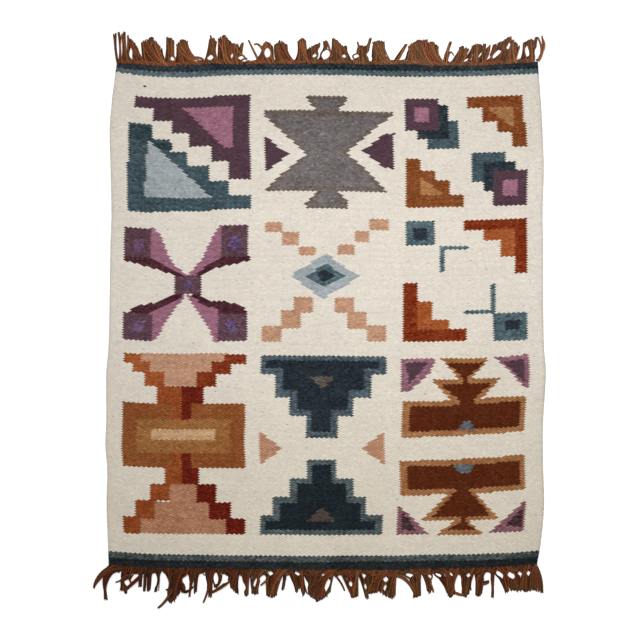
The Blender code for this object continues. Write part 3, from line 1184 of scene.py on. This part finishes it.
def plied_warp(name):
    """Two-ply wool warp, dyed rust brown and cut to hang loose. The eye sees a matt cord of two
    plies with a faint groove winding round it every 6 mm, its shade painted darker into the
    colour, and ends that have frayed and greyed."""
    finish, tree = start_material(name)
    dye = add_node(tree, "ShaderNodeAttribute", attribute_name="strand_colour")
    yarn = add_node(tree, "ShaderNodeUVMap", uv_map="Yarn")
    parts = add_node(tree, "ShaderNodeSeparateXYZ", {"Vector": yarn.outputs["UV"]})
    winding = add_node(
        tree,
        "ShaderNodeMath",
        {0: parts.outputs["Y"], 1: 1.0, 2: parts.outputs["X"]},
        operation="MULTIPLY_ADD",
    )
    turn = add_node(
        tree,
        "ShaderNodeMath",
        {0: winding.outputs["Value"], 1: 2.0 * math.pi},
        operation="MULTIPLY",
    )
    wave = add_node(tree, "ShaderNodeMath", {0: turn.outputs["Value"]}, operation="COSINE")
    # The groove between the plies: its shade is painted into the colour, and it is the bump's height
    # too.
    groove = add_node(
        tree,
        "ShaderNodeMapRange",
        {
            "Value": wave.outputs["Value"],
            "From Min": -1.0,
            "From Max": 0.2,
            "To Min": 0.74,
            "To Max": 1.0,
        },
        interpolation_type="SMOOTHSTEP",
    )
    place = add_node(tree, "ShaderNodeTexCoord")
    speck = add_node(
        tree,
        "ShaderNodeTexNoise",
        {"Vector": place.outputs["Object"], "Scale": 900.0, "Detail": 3.0},
    )
    fuzz = add_node(
        tree,
        "ShaderNodeMapRange",
        {
            "Value": speck.outputs["Fac"],
            "From Min": 0.3,
            "From Max": 0.7,
            "To Min": 0.82,
            "To Max": 1.12,
        },
    )
    shade = add_node(
        tree,
        "ShaderNodeMath",
        {0: groove.outputs["Result"], 1: fuzz.outputs["Result"]},
        operation="MULTIPLY",
    )
    colour = add_node(
        tree,
        "ShaderNodeVectorMath",
        {0: dye.outputs["Color"], "Scale": shade.outputs["Value"]},
        operation="SCALE",
    )
    relief = add_node(
        tree,
        "ShaderNodeBump",
        {"Height": groove.outputs["Result"], "Strength": 0.5, "Distance": 0.0005},
    )
    shader = add_node(
        tree,
        "ShaderNodeBsdfPrincipled",
        {
            "Base Color": colour.outputs["Vector"],
            "Normal": relief.outputs["Normal"],
            "Roughness": 0.9,
            "Metallic": 0.0,
            "IOR": 1.5,
            "Specular IOR Level": 0.05,
            "Sheen Weight": 0.012,
            "Sheen Roughness": 0.5,
        },
    )
    add_node(tree, "ShaderNodeOutputMaterial", {"Surface": shader.outputs["BSDF"]})
    return finish


def object_from(name, bm, finish):
    mesh = bpy.data.meshes.new(name)
    for face in bm.faces:
        face.smooth = True
    bm.to_mesh(mesh)
    bm.free()
    mesh.materials.append(finish)
    thing = bpy.data.objects.new(name, mesh)
    bpy.context.collection.objects.link(thing)
    return thing


def woven_grid(bm, loom, warps, picks, side):
    """A flat grid with one square per crossing. Each point keeps its warp, its pick and its side
    of the cloth, 1 for the face and 0 for the underside, through whatever cuts the grid later."""
    for vert in bmesh.ops.create_grid(bm, x_segments=warps, y_segments=picks, size=0.5)["verts"]:
        vert[loom.warp] = round((vert.co.x + 0.5) * warps) * WARPS / warps
        vert[loom.pick] = round((0.5 - vert.co.y) * picks) * PICKS / picks
        vert[loom.side] = side
        vert.co.z = side * CLOTH_THICKNESS


def is_crown(loom, vert):
    return round(vert[loom.warp] + vert[loom.pick]) % 2 == 0


def cut_along_stitches(bm, loom):
    """Cuts each square of the face between its two valleys, so every float is a diamond."""
    first_is_crown = []
    first_is_valley = []
    for face in bm.faces:
        group = first_is_crown if is_crown(loom, face.verts[0]) else first_is_valley
        group.append(face)
    bmesh.ops.triangulate(bm, faces=first_is_crown, quad_method="ALTERNATE")
    bmesh.ops.triangulate(bm, faces=first_is_valley, quad_method="FIXED")


def rim_edges(bm, loom, side):
    return [edge for edge in bm.edges if edge.is_boundary and edge.verts[0][loom.side] == side]


def build_cloth(colours, finish):
    """The woven cloth as one closed mesh: stitched face, plainer underside and a rounded rim."""
    bm = bmesh.new()
    loom = SimpleNamespace(
        warp=bm.verts.layers.float.new("warp"),
        pick=bm.verts.layers.float.new("pick"),
        side=bm.verts.layers.float.new("side"),
        crown=bm.verts.layers.float.new("crown"),
        dye=bm.faces.layers.float_color.new("stitch_colour"),
        layout=bm.loops.layers.uv.new("OFBake"),
    )
    woven_grid(bm, loom, WARPS, PICKS, 1.0)
    cut_along_stitches(bm, loom)
    woven_grid(bm, loom, UNDERSIDE_WARPS, UNDERSIDE_PICKS, 0.0)
    bmesh.ops.subdivide_edges(bm, edges=rim_edges(bm, loom, 0.0), cuts=1)
    plain = [face for face in bm.faces if face.verts[0][loom.side] == 0.0]
    bmesh.ops.triangulate(bm, faces=plain)
    bmesh.ops.bridge_loops(bm, edges=rim_edges(bm, loom, 1.0) + rim_edges(bm, loom, 0.0))
    uprights = [edge for edge in bm.edges if edge.verts[0][loom.side] != edge.verts[1][loom.side]]
    bmesh.ops.subdivide_edges(bm, edges=uprights, cuts=1)
    lay_out_cloth(bm, loom)
    for edge in bm.edges:
        edge.smooth = any(vert[loom.side] < 1.0 or is_crown(loom, vert) for vert in edge.verts)
    bmesh.ops.recalc_face_normals(bm, faces=bm.faces)
    dye_faces(bm, loom, colours)
    for layer in (loom.warp, loom.pick, loom.side):
        bm.verts.layers.float.remove(layer)
    return object_from("cloth_woven", bm, finish)


def drawn_in(place, count):
    """Pulls the underside's outermost inner row close to the rim, so that the rim stays round."""
    if place == 2.0:
        return 1.0
    if place == count - 2.0:
        return count - 1.0
    return place


def lay_out_cloth(bm, loom):
    """Moves every point of the flat grids to its place on the rug."""
    waves = soft_noise(21, 5, 6)
    row_drift = soft_noise(33, 18, 24)
    column_drift = soft_noise(34, 16, 34)
    dice = random.Random(9)
    for vert in bm.verts:
        warp = vert[loom.warp]
        pick = vert[loom.pick]
        side = vert[loom.side]
        at_side = (warp > WARPS - 0.01) - (warp < 0.01)
        at_end = (pick < 0.01) - (pick > PICKS - 0.01)
        if side == 1.0:
            x, y = place_on_cloth(warp, pick)
            inside = min(warp, WARPS - warp, pick, PICKS - pick, 6.0) / 6.0
            x += inside * COLUMN_DRIFT * column_drift(warp / WARPS, pick / PICKS)
            y += inside * ROW_DRIFT * row_drift(warp / WARPS, pick / PICKS)
            x += inside * STITCH_STRAY * dice.gauss(0.0, 1.3)
            y += inside * STITCH_STRAY * dice.gauss(0.0, 0.8)
            high = is_crown(loom, vert)
            z = CLOTH_THICKNESS + (STITCH_CROWN if high else -STITCH_VALLEY)
            z += CLOTH_WAVE * waves(warp / WARPS, pick / PICKS)
            z += inside * STITCH_STRAY * dice.gauss(0.0, 0.5)
            z -= RIM_DROP * (abs(at_side) + abs(at_end))
            x += at_side * SELVEDGE_TURN * (1.0 if high else -1.0)
            # Crown: 1 on a float's top and lower in the dips, where the wool paints shade; the rim's
            # 0.8 gets none.
            vert[loom.crown] = 1.0 if high else 0.0
        elif side == 0.0:
            x, y = place_on_cloth(drawn_in(warp, WARPS), drawn_in(pick, PICKS))
            high = round(warp + pick) % 4 == 0
            z = RIM_FOOT if at_side or at_end else (0.0 if high else STITCH_VALLEY)
            vert[loom.crown] = 1.0 if high else 0.3
        else:
            x, y = place_on_cloth(warp, pick)
            x += at_side * RIM_BULGE
            y += at_end * RIM_BULGE
            z = CLOTH_THICKNESS * 0.45
            vert[loom.crown] = 0.8
        vert.co = (x, y, z)


def map_place(sides, normal, spot):
    """A point's place on the map that the colours bake to: the face fills most of it, the underside
    a corner, and each side of the rim a strip of its own."""
    across = (spot.x + MAP_LEFT) / MAP_SPAN
    along = (spot.y + MAP_FOOT) / MAP_SPAN
    if min(sides) == 1.0:
        return MAP_EDGE + across * 0.87, MAP_EDGE + along * 0.87
    if max(sides) == 0.0:
        return 0.77 + across * 0.25, MAP_EDGE + along * 0.25
    if abs(normal.x) > abs(normal.y):
        shelf = 0.955 if normal.x > 0 else 0.97
        return MAP_EDGE + along * 0.98, shelf + RIM_MAP_SCALE * spot.z
    shelf = 0.925 if normal.y > 0 else 0.94
    return MAP_EDGE + across * 0.98, shelf + RIM_MAP_SCALE * spot.z


def dye_faces(bm, loom, colours):
    """Gives each face its stitch's colour, and its place on the map that the colours bake to."""
    dice = random.Random(3)
    bm.normal_update()
    for face in bm.faces:
        sides = [vert[loom.side] for vert in face.verts]
        crowns = [vert for vert in face.verts if vert[loom.side] == 1.0 and is_crown(loom, vert)]
        if min(sides) == 1.0 and len(crowns) == 1:
            warp = round(crowns[0][loom.warp])
            pick = round(crowns[0][loom.pick])
        else:
            warp = round(sum(vert[loom.warp] for vert in face.verts) / len(face.verts))
            pick = round(sum(vert[loom.pick] for vert in face.verts) / len(face.verts))
        red, green, blue, grain = colours[pick][warp]
        tone = min(max(1.0 + FIBRE_GRAIN * grain * dice.gauss(0.0, 1.0), 0.5), 1.6)
        if dice.random() < NEP_SHARE:
            tone *= dice.uniform(0.55, 0.8)
        face[loom.dye] = (red * tone, green * tone, blue * tone, 1.0)
        for loop in face.loops:
            loop[loom.layout].uv = map_place(sides, face.normal, loop.vert.co)


def master_strand():
    """One straight strand of unit length along Z: a slim tube with blunt ends, and its own map."""
    bm = bmesh.new()
    bmesh.ops.create_circle(bm, cap_ends=True, segments=STRAND_SIDES, radius=1.0)
    raised = bmesh.ops.extrude_face_region(bm, geom=bm.faces[:], use_keep_orig=True)["geom"]
    face = [item for item in raised if isinstance(item, bmesh.types.BMFace)][0]
    bmesh.ops.translate(bm, verts=face.verts, vec=(0.0, 0.0, 1.0 / STRAND_STEPS))
    for _ in range(STRAND_STEPS - 1):
        face = bmesh.ops.extrude_discrete_faces(bm, faces=[face])["faces"][0]
        bmesh.ops.translate(bm, verts=face.verts, vec=(0.0, 0.0, 1.0 / STRAND_STEPS))
    bmesh.ops.recalc_face_normals(bm, faces=bm.faces)
    yarn = bm.loops.layers.uv.new("Yarn")
    layout = bm.loops.layers.uv.new("OFBake")
    for face in bm.faces:
        turns = [
            math.atan2(loop.vert.co.y, loop.vert.co.x) / (2.0 * math.pi) % 1.0 for loop in face.loops
        ]
        wraps = max(turns) - min(turns) > 0.6 and len(face.loops) == 4
        for loop, turn in zip(face.loops, turns):
            around = turn + 1.0 if wraps and turn < 0.5 else turn
            loop[yarn].uv = (around, loop.vert.co.z)
            loop[layout].uv = (around, loop.vert.co.z)
    mesh = bpy.data.meshes.new("master_strand")
    bm.to_mesh(mesh)
    bm.free()
    return mesh


def edge_height(end_rows, across):
    """The height of a woven end at a place across the rug, in millimetres."""
    height = end_rows[TYPICAL_END_ROW][1]
    left = smooth_between(SELVEDGES, height, 1)
    right = smooth_between(SELVEDGES, height, 2)
    share = (across - left) / (right - left)
    if height > 0.0:
        return smooth_between(end_rows, share, 1) + smooth_between(FAR_LOOSENESS, share, 1)
    return smooth_between(end_rows, share, 1) - smooth_between(NEAR_LOOSENESS, share, 1)


def slanted(openings, bunches, seed):
    """The openings, each with how far it leans sideways per millimetre out, as its bunch does."""
    dice = random.Random(seed)
    leaning = []
    for centre, away, half_width, half_height in openings:
        nearest = min(bunches, key=lambda bunch: abs(0.25 * sum(bunch[:4]) - centre))
        drift = (nearest[2] + nearest[3] - nearest[0] - nearest[1]) / 2.0
        slant = min(max(drift / nearest[5], -STEEPEST_SLANT), STEEPEST_SLANT)
        slant += dice.uniform(-SLANT_CHANCE, SLANT_CHANCE)
        leaning.append((centre, away, half_width, half_height, slant))
    return leaning


def keep_out_of(openings, across, out, side_of):
    """Pushes a point of a strand sideways out of the pointed openings that the fringe leaves."""
    for place, (centre, away, half_width, half_height, slant) in enumerate(openings):
        height = (out - away) / (OPENING_STRETCH * half_height + STRAND_HALF)
        if abs(height) >= 1.0:
            continue
        middle = centre + slant * (out - away)
        reach = (half_width + STRAND_HALF) * (1.0 - height * height) ** OPENING_POINT
        if abs(across - middle) < reach:
            across = middle + math.copysign(reach, side_of[place])
    return across


def arc(root, via, tip):
    """A smooth path of a strand through three places, each across and out in millimetres."""
    bend = [2.0 * via[side] - 0.5 * (root[side] + tip[side]) for side in (0, 1)]
    points = []
    for step in range(STRAND_STEPS + 1):
        along = step / STRAND_STEPS
        first, second, third = (1.0 - along) ** 2, 2.0 * along * (1.0 - along), along * along
        points.append(
            [first * root[side] + second * bend[side] + third * tip[side] for side in (0, 1)]
        )
    return points


def crosses(points, openings):
    """Whether a path runs through one of the openings."""
    for centre, away, half_width, half_height, slant in openings:
        for across, out in points:
            wide = (across - centre - slant * (out - away)) / (half_width + STRAND_HALF)
            high = (out - away) / (half_height + STRAND_HALF)
            if wide * wide + high * high < 1.0:
                return True
    return False


def low_roots(bunches, openings, bare, band, dice):
    """Strands that lie low along the cloth's edge and join one bunch's roots to the next."""
    paths = []
    root = bunches[0][0]
    while root < bunches[-1][1] - 4.0:
        root += ROOT_PITCH * dice.uniform(0.7, 1.3)
        run = dice.uniform(5.0, ROOT_SWEEP) * dice.choice((-1.0, 1.0))
        crest = dice.uniform(0.35, 1.0) * band
        fall = dice.uniform(-0.1, 0.35) * crest
        if not bunches[0][0] - 2.0 < root + run < bunches[-1][1] + 2.0:
            continue
        if any(start < root + 0.5 * run < end for start, end in bare):
            continue
        for lift in (0.0, 3.0, 6.0):
            middle = (root + 0.5 * run, crest + lift)
            points = arc((root, ROOT_INSET), middle, (root + run, fall + lift))
            if not crosses(points, openings):
                paths.append((points, dice.uniform(0.2, 0.8), 0.85))
                break
    return paths


def bunch_paths(bunches, strays, openings, bare, band, seed):
    """Every strand's path in millimetres across the rug and out from the cloth's edge, its level
    in the pile of strands, and its width beside a plain strand's."""
    dice = random.Random(seed)
    openings = slanted(openings, bunches, seed + 5)
    paths = []
    for bunch in bunches:
        root_from, root_to, tip_from, tip_to, reach_from, reach_mid, reach_to, gather, bow = bunch
        spread = max(root_to - root_from, tip_to - tip_from)
        drift = (tip_from + tip_to - root_from - root_to) / 2.0
        lean = dice.choice((-BUNCH_LEAN, BUNCH_LEAN)) * dice.uniform(0.5, 1.0)
        if abs(drift) > STRAIGHT_DRIFT * spread or gather > STRAIGHT_GATHER:
            lean = 0.0
        for pitch, level_from, level_to, mix, width, shy in BUNCH_LAYERS:
            count = max(round(spread / pitch), 2)
            for place in range(count):
                share = (place + 0.5) / count
                spill = ROOT_SPILL * mix
                start = share + lean * min(LEAN_RUN * mix, 1.0) + dice.uniform(-mix, mix)
                start = min(max(start, -spill), 1.0 + spill)
                root = root_from + (root_to - root_from) * start
                root = max(root, bunches[0][0] + LEFT_CORNER_ROOM)
                root = min(root, bunches[-1][1] - RIGHT_CORNER_ROOM)
                tip = tip_from + (tip_to - tip_from) * share
                tip += dice.uniform(-TIP_SCATTER, TIP_SCATTER)
                arch = 1.0 - abs(2.0 * share - 1.0)
                crest = reach_mid - (reach_from + reach_to) / 2.0
                reach = reach_from + (reach_to - reach_from) * share + crest * arch
                reach += dice.uniform(-CUT_SHORT, LEFT_LONG) - shy
                hook = dice.random() < HOOK_SHARE
                curl = dice.uniform(-TIP_CURL, TIP_CURL) * (HOOK_CURL if hook else 1.0)
                sway = dice.uniform(-SWAY, SWAY)
                turn = max(gather, 1.0 + abs(tip - root - drift) / TURN_RUN)
                turn = min(turn, SHARPEST_TURN - (LEANING_EASE if lean else UPRIGHT_EASE) * mix)
                lean = FULL_LEAN
                points = []
                for step in range(STRAND_STEPS + 1):
                    along = step / STRAND_STEPS
                    drawn_over = 1.0 - (1.0 - along) ** turn
                    across = root + (tip - root) * drawn_over + bow * math.sin(math.pi * along)
                    across += curl * along**5 + sway * math.sin(2.0 * math.pi * (along + share))
                    out = ROOT_INSET + (reach - ROOT_INSET) * along ** (0.6 + 0.5 * turn)
                    points.append([across, out])
                paths.append((points, dice.uniform(level_from, level_to), width))
    for root, root_out, via, via_out, tip, tip_out, strands in strays:
        chord = math.hypot(tip - root, tip_out - root_out)
        for place in range(strands):
            beside = LOCK_PITCH * (place - (strands - 1) / 2.0)
            points = arc((root, root_out), (via, via_out), (tip, tip_out))
            for step, point in enumerate(points):
                apart = beside * (1.0 - LOCK_TAPER * step / STRAND_STEPS)
                point[0] += apart * (tip_out - root_out) / chord
                point[1] -= apart * (tip - root) / chord
            paths.append((points, 0.7 + 0.5 * (place % 2), LOCK_WIDTH))
    for points, _, _ in paths:
        side_of = []
        for centre, away, _, _, _ in openings:
            nearest = min(points, key=lambda point: abs(point[1] - away))
            side_of.append(1.0 if nearest[0] >= centre else -1.0)
        for point in points:
            point[0] = keep_out_of(openings, point[0], point[1], side_of)
    return paths + low_roots(bunches, openings, bare, band, dice)


def build_fringe(
    name, end_rows, outward, bunches, strays, openings, bare, band, colours, dyeing, finish, seed
):
    """One end's fringe: every warp end as a plied strand that lies on the floor in its bunch."""
    dice = random.Random(seed)
    master = master_strand()
    tones = [linear(hex_colour) for hex_colour in colours]
    tip_grey = linear(FRAYED_TIP)[:3]
    root_red = linear(ROOT_RED)[:3]
    bm = bmesh.new()
    dye = bm.verts.layers.float_color.new("strand_colour")
    paths = bunch_paths(bunches, strays, openings, bare, band, seed + 1)
    for _ in paths:
        bm.from_mesh(master)
    verts, faces = bm.verts[:], bm.faces[:]
    vert_count, face_count = len(master.vertices), len(master.polygons)
    rows = math.ceil(len(paths) / MAP_COLUMNS)
    yarn = bm.loops.layers.uv["Yarn"]
    layout = bm.loops.layers.uv["OFBake"]
    for number, (points, level, width) in enumerate(paths):
        line = []
        root_rise = ROOT_RISE * dice.random()
        for step, (across, out) in enumerate(points):
            along = step / STRAND_STEPS
            rise = level * STRAND_LIFT * math.sin(math.pi * min(0.15 + 0.85 * along, 0.95))
            height = STRAND_THICK + rise + root_rise * max(1.0 - 5.0 * along, 0.0)
            y = edge_height(end_rows, across) + outward * out
            line.append(Vector((across, y, height)) * MILLIMETRE)
        base = [
            channel * smooth_between(dyeing, points[-1][0], column)
            for column, channel in enumerate(tones[dice.randrange(len(tones))][:3], 1)
        ]
        # A random tone times painted shade: strands low in the pile are painted darker, the top ones
        # brighter.
        tone = dice.uniform(0.8, 1.2) * (DEEP_STRAND_SHADE + TOP_STRAND_LIGHT * min(level, 1.0))
        glow = ROOT_BRIGHTNESS * dice.random()
        length = sum((b - a).length for a, b in zip(line, line[1:]))
        for vert in verts[number * vert_count : (number + 1) * vert_count]:
            step = round(vert.co.z * STRAND_STEPS)
            ahead = line[min(step + 1, STRAND_STEPS)] - line[max(step - 1, 0)]
            heading = Vector((ahead.x, ahead.y, 0.0)).normalized()
            side = Vector((heading.y, -heading.x, 0.0))
            thin = 1.0 - STRAND_SLIMMING * (step / STRAND_STEPS)
            if step == STRAND_STEPS:
                thin = BLUNT_TIP
            offset = side * (vert.co.x * STRAND_HALF * width * thin)
            offset.z = vert.co.y * STRAND_THICK * thin
            vert.co = line[step] + offset * MILLIMETRE
            frayed = 0.0
            if points[-1][1] > band:
                frayed = FRAYED_SHARE * max(step - STRAND_STEPS + 2, 0) / 2.0
            fresh = glow * max(1.0 - points[step][1] / (1.5 * band), 0.0)
            vert[dye] = [
                (wool * tone * (1.0 - frayed)) + grey * frayed + root * fresh
                for wool, grey, root in zip(base, tip_grey, root_red)
            ] + [1.0]
        column = number % MAP_COLUMNS
        row = number // MAP_COLUMNS
        phase = dice.random()
        for face in faces[number * face_count : (number + 1) * face_count]:
            for loop in face.loops:
                around, along = loop[yarn].uv
                aside = MAP_SIDE_MARGIN + (1.0 - 2.0 * MAP_SIDE_MARGIN) * around / 1.2
                upward = MAP_END_MARGIN + (1.0 - 2.0 * MAP_END_MARGIN) * along
                loop[layout].uv = ((column + aside) / MAP_COLUMNS, (row + upward) / rows)
                loop[yarn].uv = (around, along * length / PLY_TURN + phase)
    bpy.data.meshes.remove(master)
    bmesh.ops.recalc_face_normals(bm, faces=bm.faces)
    return object_from(name, bm, finish)


def dress_rug():
    """Makes the cloth and both fringes, attaches each to the rug's body and hides its CAD node."""
    colours = stitch_colours(woven_chart())
    cloth = build_cloth(colours, woven_wool())
    far = build_fringe(
        "fringe_far_strands",
        FAR_END,
        1.0,
        FAR_BUNCHES,
        FAR_STRAYS,
        FAR_OPENINGS,
        FAR_BARE,
        FAR_ROOT_BAND,
        FAR_FRINGE_COLOURS,
        FAR_DYE,
        plied_warp("plied_wool_warp_rust"),
        31,
    )
    near = build_fringe(
        "fringe_near_strands",
        NEAR_END,
        -1.0,
        NEAR_BUNCHES,
        NEAR_STRAYS,
        NEAR_OPENINGS,
        NEAR_BARE,
        NEAR_ROOT_BAND,
        NEAR_FRINGE_COLOURS,
        NEAR_DYE,
        plied_warp("plied_wool_warp_dark_rust"),
        47,
    )
    for piece, node, slot in (
        (cloth, "cloth", "wool_weft"),
        (far, "fringe_far", "warp_ends"),
        (near, "fringe_near", "warp_ends"),
    ):
        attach(piece, "root")
        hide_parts(node)


def pale_floor():
    """Opal white acrylic, lit from below: the photograph's plain white ground."""
    finish, tree = start_material("opal_acrylic_light_table")
    shader = add_node(
        tree,
        "ShaderNodeBsdfPrincipled",
        {
            "Base Color": linear(FLOOR_COLOUR),
            "Roughness": 1.0,
            "Specular IOR Level": 0.0,
            "Emission Color": (1.0, 1.0, 1.0, 1.0),
            "Emission Strength": FLOOR_GLOW,
        },
    )
    add_node(tree, "ShaderNodeOutputMaterial", {"Surface": shader.outputs["BSDF"]})
    bm = bmesh.new()
    bmesh.ops.create_grid(bm, x_segments=1, y_segments=1, size=FLOOR_REACH)
    bmesh.ops.translate(bm, verts=bm.verts, vec=(0.0, 0.0, -0.0002))
    floor = object_from("floor_board", bm, finish)


def soft_light():
    """An even room, a soft box hung a metre over the rug, so that the near end lies in less light
    than the middle, and a weak light from beyond the far left corner that draws the weave out."""
    world = bpy.data.worlds.new("studio")
    world.use_nodes = True
    sky = world.node_tree.nodes["Background"]
    sky.inputs["Color"].default_value = (1.0, 1.0, 1.0, 1.0)
    sky.inputs["Strength"].default_value = ROOM_LIGHT
    bpy.context.scene.world = world
    box = bpy.data.lights.new("soft_box", "AREA")
    box.energy = SOFT_BOX_WATTS
    box.size = SOFT_BOX_WIDTH
    overhead = bpy.data.objects.new("soft_box", box)
    overhead.location = SOFT_BOX_PLACE
    bpy.context.collection.objects.link(overhead)
    lamp = bpy.data.lights.new("side_light", "SUN")
    lamp.energy = SIDE_LIGHT
    lamp.angle = math.radians(35.0)
    side = bpy.data.objects.new("side_light", lamp)
    side.rotation_euler = (math.radians(-38.0), math.radians(-28.0), 0.0)
    bpy.context.collection.objects.link(side)


def camera_overhead():
    """Looks straight down from a long way up, so the far and near ends keep one scale."""
    lens = bpy.data.cameras.new("overhead")
    lens.sensor_width = SENSOR_WIDTH
    lens.lens = SENSOR_WIDTH * CAMERA_HEIGHT / FIELD_WIDTH
    lens.clip_end = 100.0
    camera = bpy.data.objects.new("overhead", lens)
    camera.location = (FRAME_SHIFT, 0.0, CAMERA_HEIGHT)
    bpy.context.collection.objects.link(camera)
    bpy.context.scene.camera = camera


camera_overhead()
soft_light()
pale_floor()
dress_rug()
bpy.context.scene.view_settings.view_transform = "Standard"
